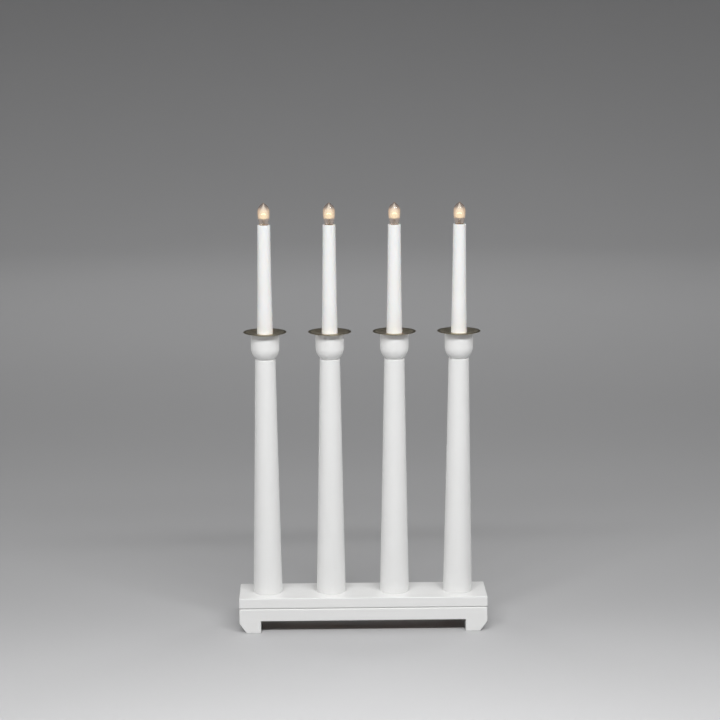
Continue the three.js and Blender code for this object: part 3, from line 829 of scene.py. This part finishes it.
def taper(radii, low, high, steps=24):
    """Wall that passes through three radii at its foot, middle and top on one quadratic curve."""
    foot, middle, top = radii
    t = np.linspace(0, 1, steps + 1)
    bend = 2 * middle - (foot + top) / 2
    radius = (1 - t) ** 2 * foot + 2 * t * (1 - t) * bend + t * t * top
    return np.stack([radius, low + (high - low) * t], 1)


def column(light):
    node = f"column_{light}"
    low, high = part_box(node)
    foot_z = high_z("base_board")
    wall = taper((radius_of(node), COLUMN_MIDDLE, COLUMN_TOP), foot_z, high.z)
    edge = COLUMN_EDGE
    start = wall[0][0] - edge
    foot = [(WIRE_BORE, low.z), (FOOT_TENON, low.z), (FOOT_TENON, foot_z), (start, foot_z)]
    rim = arc(wall[-1][0] - edge, high.z - edge, edge, 0, math.pi / 2, 5)
    socket, socket_floor = CAPITAL_TENON + FIT, high.z - CAPITAL_TENON_LENGTH - FIT
    inside = [(socket, high.z), (socket, socket_floor), (WIRE_BORE, socket_floor)]
    heel = arc(start, foot_z + edge, edge, -math.pi / 2, 0, 4)[1:]
    kept = wall[(wall[:, 1] > foot_z + edge) & (wall[:, 1] < high.z - edge)]
    profile = np.concatenate([foot, heel, kept, rim, inside])
    piece = weld(f"turned_column_{light}", turned(profile, middle_of(node).x))
    finished(piece, PAINT_UP, "column_paint", "candlestick", node)


def capital(light):
    """A ball below and a plain drum above: a neck, an arc of the ball's circle up to its widest
    place, and then a straight wall."""
    node = f"capital_{light}"
    low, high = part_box(node)
    radius = radius_of(node)
    bottom = high_z(f"column_{light}")
    centre = bottom + CAPITAL_CENTRE
    start = math.asin((bottom + CAPITAL_NECK_HEIGHT - centre) / radius)
    ball = arc(0, centre, radius, start, 0, 24)
    rim = arc(radius - CAPITAL_EDGE, high.z - CAPITAL_EDGE, CAPITAL_EDGE, 0, math.pi / 2, 5)
    socket = SPIGOT + FIT
    socket_floor = low_z(f"candle_sleeve_{light}") - FIT
    tenon = [(WIRE_BORE, low.z), (CAPITAL_TENON, low.z), (CAPITAL_TENON, bottom)]
    inside = [(socket, high.z), (socket, socket_floor), (WIRE_BORE, socket_floor)]
    profile = np.concatenate([tenon, [(CAPITAL_NECK, bottom)], ball, rim, inside])
    piece = weld(f"turned_capital_{light}", turned(profile, middle_of(node).x))
    finished(piece, PAINT_UP, "column_paint", "candlestick", node)


def drip_plate(light):
    """Sheet brass, spun: flat, then up to the rim in half a cosine wave. The line under it is the
    same line a sheet's thickness lower, and the rim's edge is half round."""
    node = f"drip_plate_{light}"
    low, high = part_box(node)
    depth = high.z - low.z - PLATE_THICKNESS
    share = np.linspace(0, 1, 21)
    radius = PLATE_FLOOR + share * (PLATE_RISE_END - PLATE_FLOOR)
    rise = depth * (1 - np.cos(math.pi * share)) / 2
    half = PLATE_THICKNESS / 2
    bore = SPIGOT + FIT
    under = np.stack([radius, low.z + rise], 1)
    over = np.stack([radius, low.z + PLATE_THICKNESS + rise], 1)[::-1]
    rim = arc(radius_of(node) - half, high.z - half, half, -math.pi / 2, math.pi / 2, 8)
    mouth = [(bore, low.z + PLATE_THICKNESS), (bore, low.z)]
    profile = np.concatenate([under, rim, over, mouth])
    x = middle_of(node).x
    piece = weld(f"spun_plate_{light}", turned(profile, x, sides=144))
    material = antique_brass(f"antique brass {light}", x, PLATE_RISE_END)
    finished(piece, material, "plate_brass", "candlestick", node)


def candle_sleeve(light):
    node = f"candle_sleeve_{light}"
    low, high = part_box(node)
    foot_z = low.z + SPIGOT_LENGTH
    wall = taper((radius_of(node), SLEEVE_MIDDLE, SLEEVE_TOP), foot_z, high.z)
    edge, lip = SLEEVE_EDGE, SLEEVE_LIP
    kept = wall[(wall[:, 1] > foot_z + SLEEVE_HEEL) & (wall[:, 1] < high.z - edge)]
    chamber_floor = low_z(f"lampholder_body_{light}")
    start = wall[0][0] - SLEEVE_HEEL
    foot = [(SLEEVE_BORE, low.z), (SPIGOT, low.z), (SPIGOT, foot_z), (start, foot_z)]
    heel = arc(start, foot_z + SLEEVE_HEEL, SLEEVE_HEEL, -math.pi / 2, 0, 4)[1:]
    rim = arc(wall[-1][0] - edge, high.z - edge, edge, 0, math.pi / 2, 6)
    lip = arc(CHAMBER_RADIUS + lip, high.z - lip, lip, math.pi / 2, math.pi, 4)
    inside = [(CHAMBER_RADIUS, chamber_floor), (SLEEVE_BORE, chamber_floor)]
    profile = np.concatenate([foot, heel, kept, rim, lip, inside])
    piece = weld(f"candle_{light}", turned(profile, middle_of(node).x))
    finished(piece, CANDLE, "sleeve_plastic", "candlestick", node)


# Lampholder and lamp

SHELL_WALL = 0.3 * MM
SHELL_FLANGE = 0.4 * MM
SHELL_FLANGE_BORE = 3.4 * MM
TAG_OFFSET = 3.4 * MM
TAG_THICKNESS = 0.5 * MM
TAG_WIDTH = 3 * MM
CAP_BORE = 3.9 * MM
CAP_RIM_HEIGHT = 1 * MM
CAP_EDGE = 0.2 * MM
INSULATOR_HEIGHT = 1.4 * MM
INSULATOR_END = 2.4 * MM
INSULATOR_EDGES = (0.15 * MM, 0.3 * MM)
CONTACT_RADIUS = 1.9 * MM
CONTACT_DOME = 2.2 * MM
CONTACT_DOME_END = -0.55
GLASS_WALL = 0.5 * MM
GLASS_SHOULDER = 4.6 * MM
GLASS_SHOULDER_RISE = 1.1 * MM
GLASS_BELLY_RISE = 12.9 * MM
GLASS_NECK_PULL = (0.8 * MM, 3 * MM)
GLASS_BELLY_PULL = (4.5 * MM, 6.2 * MM)
GLASS_TIP_PULL = (4.6 * MM, 3.1 * MM)
GLASS_TIP_THICKNESS = 0.8 * MM
STEM_FLARE = 2.8 * MM
STEM_FLARE_HEIGHT = 0.6 * MM
STEM_FLARE_EDGE = 0.3 * MM
STEM_TAPER_HEIGHT = 3 * MM
STEM_TAPER_BEND = 1.5 * MM
STEM_TOP_EDGE = 0.6 * MM
STEM_RADIUS = 1.1 * MM
STEM_RISE = 5.4 * MM
WIRE_START = 4 * MM
WIRE_SPREAD_DROP = 1.6 * MM
WIRE_BEND = 0.6 * MM
WIRE_RADIUS = 0.16 * MM
FILAMENT_RISE = 12.2 * MM
FILAMENT_HALF_SPAN = 2.2 * MM
FILAMENT_ARCH = 0.9 * MM
FILAMENT_TURNS = 13
FILAMENT_STEPS = 16  # to each turn
FILAMENT_COIL = 0.34 * MM
FILAMENT_RADIUS = 0.1 * MM
GLOW_RISE = 6.4 * MM
GLOW_HEIGHT = 8.5 * MM
HAZE_RADII = (4.7 * MM, 3.5 * MM, 2.4 * MM, 1.4 * MM)
HAZE_POINT_GAP = 1 * MM
HAZE_FOOT_STEP = 0.3 * MM
HAZE_POINT_STEP = 0.9 * MM
HAZE_SWELL = 2.0  # times the layer's radius
HAZE_TAPER = 0.75
HAZE_TAPER_HEIGHT = 0.55  # of the layer's height


def threaded_shell(light):
    """Pressed brass shell: a flange, a threaded inner wall and a plain outer wall, with its
    solder tag below."""
    node = f"threaded_shell_{light}"
    low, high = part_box(node)
    x = middle_of(f"column_{light}").x
    floor = high_z(f"lampholder_body_{light}")
    root = THREAD_MAJOR + THREAD_CLEARANCE
    inner = thread_wall(floor + SHELL_FLANGE, high.z, root, True, x)[:, ::-1]
    flange_top = floor + SHELL_FLANGE
    flange = turned_rows([(SHELL_FLANGE_BORE, flange_top), (SHELL_FLANGE_BORE, floor)], x)
    outer = turned_rows([(root + SHELL_WALL, floor), (root + SHELL_WALL, high.z)], x)
    wall = patch(np.concatenate([inner, flange, outer], 1), around=True, along=True)
    tag_low = (x + TAG_OFFSET, -TAG_WIDTH / 2, low.z)
    tag_high = (x + TAG_OFFSET + TAG_THICKNESS, TAG_WIDTH / 2, floor + SHELL_FLANGE / 2)
    piece = weld(f"screw_shell_{light}", wall, *boxed(tag_low, tag_high))
    finished(piece, BRASS, "contact_brass", "candlestick", node)


def lamp_cap(light):
    node = f"lamp_cap_{light}"
    low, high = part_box(node)
    x = middle_of(node).x
    minor = THREAD_MAJOR - THREAD_DEPTH
    thread_high = high.z - CAP_RIM_HEIGHT - FIT
    outer = thread_wall(low.z + FIT, thread_high, minor, False, x)
    foot = turned_rows([(CAP_BORE, low.z), (minor - CAP_EDGE, low.z)], x)
    rim = rounded([
        (minor, thread_high, 0), (radius_of(node), high.z - CAP_RIM_HEIGHT, CAP_EDGE),
        (radius_of(node), high.z, CAP_EDGE), (CAP_BORE, high.z, 0),
    ], steps=3)[1:]
    grid = np.concatenate([foot, outer, turned_rows(rim, x)], 1)
    piece = weld(f"screw_cap_{light}", patch(grid, around=True, along=True))
    finished(piece, BRASS, "cap_brass", f"lamp_{light}", node)


def lamp_contact(light):
    node = f"lamp_contact_{light}"
    low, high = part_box(node)
    x = middle_of(f"column_{light}").x
    cap_bottom = low_z(f"lamp_cap_{light}")
    split = cap_bottom - INSULATOR_HEIGHT
    dome_centre = low.z + CONTACT_DOME
    dome = arc(0, dome_centre, CONTACT_DOME, -math.pi / 2, CONTACT_DOME_END, 10)
    dome = dome * (CONTACT_RADIUS / dome[-1][0], 1)
    plug = CAP_BORE - FIT
    small, large = INSULATOR_EDGES
    above = rounded([
        (CONTACT_RADIUS, split, 0), (INSULATOR_END, split, small), (plug, cap_bottom, large),
        (plug, high.z, large), (0, high.z, 0),
    ])
    profile = np.concatenate([dome, above])
    piece = weld(f"end_contact_{light}", turned(profile, x, sides=64, closed=False))
    material = end_contact(f"end contact {light}", split)
    finished(piece, material, "black_glass", f"lamp_{light}_lift", node)


def bulb_line(inset_by, tip_inset, cap_top, tip, radius, steps):
    """Flame-shaped outline: one cubic curve swells from the shoulder to the belly, and another
    closes from the belly to the pointed tip."""
    shoulder = (GLASS_SHOULDER - inset_by, cap_top + GLASS_SHOULDER_RISE)
    belly = (radius - inset_by, cap_top + GLASS_BELLY_RISE)
    end = (0, tip - tip_inset)
    neck_pull = (shoulder[0] + GLASS_NECK_PULL[0], shoulder[1] + GLASS_NECK_PULL[1])
    tip_pull = (GLASS_TIP_PULL[0], end[1] - GLASS_TIP_PULL[1])
    lower = bezier(shoulder, neck_pull, (belly[0], belly[1] - GLASS_BELLY_PULL[0]), belly, steps)
    upper = bezier(belly, (belly[0], belly[1] + GLASS_BELLY_PULL[1]), tip_pull, end, steps)
    return np.concatenate([lower, upper[1:]])


def lamp_glass(light):
    node = f"lamp_glass_{light}"
    low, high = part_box(node)
    x = middle_of(node).x
    cap_top = high_z(f"lamp_cap_{light}")
    neck = CAP_BORE - FIT
    outer = bulb_line(0, 0, cap_top, high.z, radius_of(node), 28)
    inner = bulb_line(GLASS_WALL, GLASS_TIP_THICKNESS, cap_top, high.z, radius_of(node), 24)[::-1]
    start = [(neck - GLASS_WALL, low.z), (neck, low.z), (neck, cap_top)]
    profile = np.concatenate([start, outer, inner, [(neck - GLASS_WALL, cap_top)]])
    piece = weld(f"bulb_{light}", turned(profile, x, sides=96))
    glow = cap_top + GLOW_RISE
    material = bulb_glass(f"bulb glass {light}", glow, glow + GLOW_HEIGHT)
    finished(piece, material, "bulb_glass", f"lamp_{light}", node, smooth_large=False)


def lamp_mount(light):
    """Glass stem with a flared foot, two support wires, and the coiled filament arched between
    them: a helix carried along the arch, whose radius is its distance from that line."""
    node = f"lamp_mount_{light}"
    body = f"lamp_{light}"
    low = low_z(node)
    x = middle_of(node).x
    cap_top = high_z(f"lamp_cap_{light}")
    stem_top = cap_top + STEM_RISE
    stem = rounded([
        (0, low, 0), (STEM_FLARE, low, STEM_FLARE_EDGE),
        (STEM_FLARE, low + STEM_FLARE_HEIGHT, STEM_FLARE_EDGE),
        (STEM_RADIUS, low + STEM_TAPER_HEIGHT, STEM_TAPER_BEND),
        (STEM_RADIUS, stem_top, STEM_TOP_EDGE), (0, stem_top, 0),
    ])
    piece = weld(f"stem_{light}", turned(stem, x, sides=48, closed=False))
    finished(piece, stem_glass(f"stem glass {light}"), "lamp_mount", body, node)
    filament = cap_top + FILAMENT_RISE
    arch = FILAMENT_ARCH
    wires = []
    for side in (-1, 1):
        inner, outer = x + side * STEM_RADIUS / 2, x + side * FILAMENT_HALF_SPAN
        corners = [
            (inner, 0, low + WIRE_START), (inner, 0, stem_top),
            (outer, 0, filament - WIRE_SPREAD_DROP), (outer, 0, filament - arch),
        ]
        route = route_through(corners, WIRE_BEND)
        wires.append(swept(route, WIRE_RADIUS, (0, 1, 0), sides=10))
    finished(weld(f"wires_{light}", *wires), WIRE, "lamp_mount", body, smooth_large=False)
    coil = FILAMENT_COIL
    t = np.linspace(0, 1, FILAMENT_TURNS * FILAMENT_STEPS + 1)
    along = FILAMENT_HALF_SPAN * (2 * t - 1)
    height = filament - arch * (2 * t - 1) ** 2
    slope = np.arctan2(-arch * 4 * (2 * t - 1), 2 * FILAMENT_HALF_SPAN + 0 * t)
    spin = TURN * FILAMENT_TURNS * t
    route = np.stack([
        x + along - coil * np.cos(spin) * np.sin(slope),
        coil * np.sin(spin),
        height + coil * np.cos(spin) * np.cos(slope),
    ], 1)
    off_axis = (1, 0.01, 0.02)
    piece = weld(f"filament_{light}", swept(route, FILAMENT_RADIUS, off_axis, sides=6))
    finished(piece, FILAMENT, "lamp_mount", body, smooth_large=False)
    haze(light, x, cap_top + GLOW_RISE, high_z(f"lamp_glass_{light}") - HAZE_POINT_GAP)


def haze(light, x, low, high):
    """Nested flame-shaped layers of light round the filament, so that it is brightest where the
    eye looks through them all. Each is a cubic curve from its foot to its point, turned."""
    layers = []
    for k, radius in enumerate(HAZE_RADII):
        foot, point = low + k * HAZE_FOOT_STEP, high - k * HAZE_POINT_STEP
        swell = (HAZE_SWELL * radius, foot)
        taper_off = (HAZE_TAPER * radius, foot + HAZE_TAPER_HEIGHT * (point - foot))
        profile = bezier((0, foot), swell, taper_off, (0, point), 32)
        layers.append(turned(profile, x, sides=48, closed=False))
    piece = weld(f"glow_{light}", *layers)
    material = lit_haze(f"glow {light}", low, high)
    finished(piece, material, "lamp_mount", f"lamp_{light}", smooth_large=False)


base_board()
base_frame()
cable_cover()
cover_screws()
cord_bush()
leads()
crimps()
for light in LIGHTS:
    column(light)
    capital(light)
    drip_plate(light)
    candle_sleeve(light)
    reworked(f"lampholder_body_{light}", HOLDER)
    reworked(f"centre_contact_{light}", BRASS)
    threaded_shell(light)
    lamp_cap(light)
    lamp_contact(light)
    lamp_glass(light)
    lamp_mount(light)


# Studio: a pale floor that sweeps up into a wall all round, soft lamps, and the camera

FLOOR_RADIUS = 3.2
SWEEP_RADIUS = 1.6
WALL_TOP = 5.0
AIR_STRENGTH = 0.06


def studio_floor():
    """A pale disc that curves up into a round wall: radius and height along one profile, carried
    round the object."""
    profile = np.concatenate([
        np.stack([np.linspace(0, FLOOR_RADIUS, 12), np.zeros(12)], 1),
        arc(FLOOR_RADIUS, SWEEP_RADIUS, SWEEP_RADIUS, -math.pi / 2, 0, 24)[1:],
        [(FLOOR_RADIUS + SWEEP_RADIUS, WALL_TOP)],
    ])
    points, faces = turned(profile, sides=128, closed=False)
    mesh = bpy.data.meshes.new("studio_floor")
    mesh.from_pydata(points.tolist(), [], faces.tolist())
    mesh.polygons.foreach_set("use_smooth", np.ones(len(mesh.polygons), bool))
    floor = bpy.data.objects.new("studio_floor", mesh)
    bpy.context.scene.collection.objects.link(floor)
    finish = Finish("studio paper")
    cloud = finish.noise(1.5)
    floor.data.materials.append(finish.surface({
        "Base Color": finish.mix(cloud, colour(182, 182, 183), colour(186, 186, 187)),
        "Roughness": 0.9,
        "Specular IOR Level": 0.1,
    }))


def soft_lamp(name, place, aim, size, watts, spread=180, glints=True):
    """Flat soft light of a width and height, in metres, that faces a point. A smaller spread, in
    degrees, keeps its light to the space right in front of it, as a honeycomb does. Without
    glints it lights matt surfaces only and isn't mirrored in glass or metal."""
    light = bpy.data.lights.new(name, "AREA")
    light.shape = "RECTANGLE"
    light.size, light.size_y = size
    light.spread = math.radians(spread)
    light.energy = watts
    lamp = bpy.data.objects.new(name, light)
    lamp.location = place
    lamp.rotation_euler = (Vector(aim) - Vector(place)).to_track_quat("-Z", "Y").to_euler()
    lamp.visible_camera = False
    lamp.visible_glossy = glints
    lamp.visible_transmission = glints
    bpy.context.scene.collection.objects.link(lamp)


def studio_lights():
    columns, capitals = (0, 0, 0.25), (0, 0, 0.3)
    soft_lamp("key strip", (0.08, -1.2, 1.4), columns, (2.2, 0.14), 35)
    soft_lamp("side left", (-1.5, -0.35, 0.7), columns, (0.8, 1.2), 3.4)
    soft_lamp("side right", (1.5, -0.35, 0.7), columns, (0.8, 1.2), 1.2)
    soft_lamp("back left", (-1.7, 1.5, 0.9), capitals, (0.7, 0.7), 0.6, 36, glints=False)
    soft_lamp("back right", (1.7, 1.5, 0.9), capitals, (0.7, 0.7), 0.7, 36, glints=False)
    soft_lamp("floor at the feet", (0, -0.45, 1.0), (0, -0.45, 0), (1.2, 0.2), 1.1, 60)
    soft_lamp("backdrop", (0, 2.6, 2.4), (0, 3.0, 0), (3.6, 1.0), 7.9, 110)
    soft_lamp("foot of the backdrop", (0, 1.6, 2.3), (0, 2.2, 0), (3.0, 1.0), 7.8, 110)
    world = bpy.data.worlds.new("studio air")
    world.use_nodes = True
    air = world.node_tree.nodes["Background"]
    air.inputs["Color"].default_value = (1, 1, 1, 1)
    air.inputs["Strength"].default_value = AIR_STRENGTH
    bpy.context.scene.world = world


# Camera that matches the photograph's viewpoint: place in metres, angles in degrees
CAMERA_PLACE = (-0.0523, -2.1723, 0.7061)
CAMERA_YAW = 1.32
CAMERA_PITCH = 10.679
CAMERA_ROLL = -0.2
CAMERA_LENS = 102.75
CAMERA_SENSOR = 36.0


def studio_camera():
    """Camera turned by its yaw and pitch, then rolled about its own line of sight."""
    yaw, pitch, roll = (math.radians(a) for a in (CAMERA_YAW, CAMERA_PITCH, CAMERA_ROLL))
    flat_ahead = Vector((math.sin(yaw), math.cos(yaw), 0))
    ahead = math.cos(pitch) * flat_ahead + Vector((0, 0, -math.sin(pitch)))
    level = Vector((math.cos(yaw), -math.sin(yaw), 0))
    upright = level.cross(ahead)
    right = math.cos(roll) * level + math.sin(roll) * upright
    up = -math.sin(roll) * level + math.cos(roll) * upright
    data = bpy.data.cameras.new("studio_camera")
    data.sensor_width = CAMERA_SENSOR
    data.lens = CAMERA_LENS
    camera = bpy.data.objects.new("studio_camera", data)
    turn = Matrix((right, up, -ahead)).transposed().to_4x4()
    camera.matrix_world = Matrix.Translation(CAMERA_PLACE) @ turn
    bpy.context.scene.collection.objects.link(camera)
    bpy.context.scene.camera = camera


studio_floor()
studio_lights()
studio_camera()
bpy.context.scene.view_settings.view_transform = "Standard"
